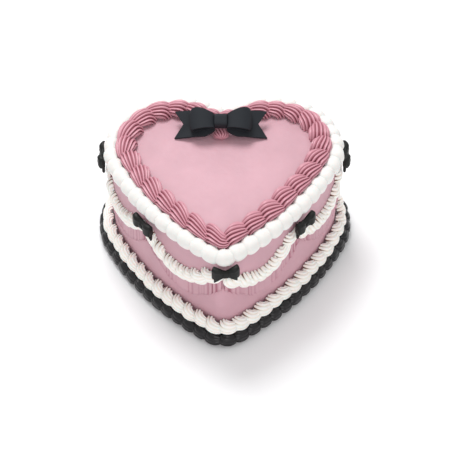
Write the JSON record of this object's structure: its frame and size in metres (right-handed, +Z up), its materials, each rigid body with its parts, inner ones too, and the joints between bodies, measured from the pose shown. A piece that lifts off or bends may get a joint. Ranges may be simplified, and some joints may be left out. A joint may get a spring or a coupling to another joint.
{
  "type": "heart shaped cake",
  "caption": "Heart shaped celebration cake with pink icing, white and black piped borders, draped swags, small bows and a large bow on top.",
  "frame": {"origin": "centre of the cake's box on the surface that it stands on", "axes": "+Z up, -Y towards the heart's tip, +X to the right seen from the tip"},
  "size_m": [0.2302, 0.2184, 0.1275],
  "materials": {
    "pink_icing": "smoothed icing",
    "piped_pink_icing": "piped icing",
    "white_icing": "piped icing",
    "black_icing": "satin piped icing",
    "charcoal_fondant": "matt fondant"
  },
  "bodies": {
    "root": {"cake_body": "pink_icing", "top_shells": "piped_pink_icing", "notch_shell": "piped_pink_icing", "rim_border": "white_icing", "base_shells": "white_icing", "base_border": "black_icing", "white_swag_1": "white_icing", "white_swag_2": "white_icing", "white_swag_3": "white_icing", "white_swag_4": "white_icing", "white_swag_5": "white_icing", "white_swag_6": "white_icing", "white_swag_7": "white_icing", "pink_ruffle_1": "pink_icing", "pink_ruffle_2": "pink_icing", "pink_ruffle_3": "pink_icing", "pink_ruffle_4": "pink_icing", "pink_ruffle_5": "pink_icing", "pink_ruffle_6": "pink_icing", "pink_ruffle_7": "pink_icing", "small_bow_1": "black_icing", "small_bow_2": "black_icing", "small_bow_3": "black_icing", "small_bow_4": "black_icing", "small_bow_5": "black_icing", "small_bow_6": "black_icing", "small_bow_7": "black_icing", "bow_tail_left": "charcoal_fondant", "bow_tail_right": "charcoal_fondant", "bow_loop_left": "charcoal_fondant", "bow_loop_right": "charcoal_fondant", "bow_knot": "charcoal_fondant"}
  },
  "joints": []
}
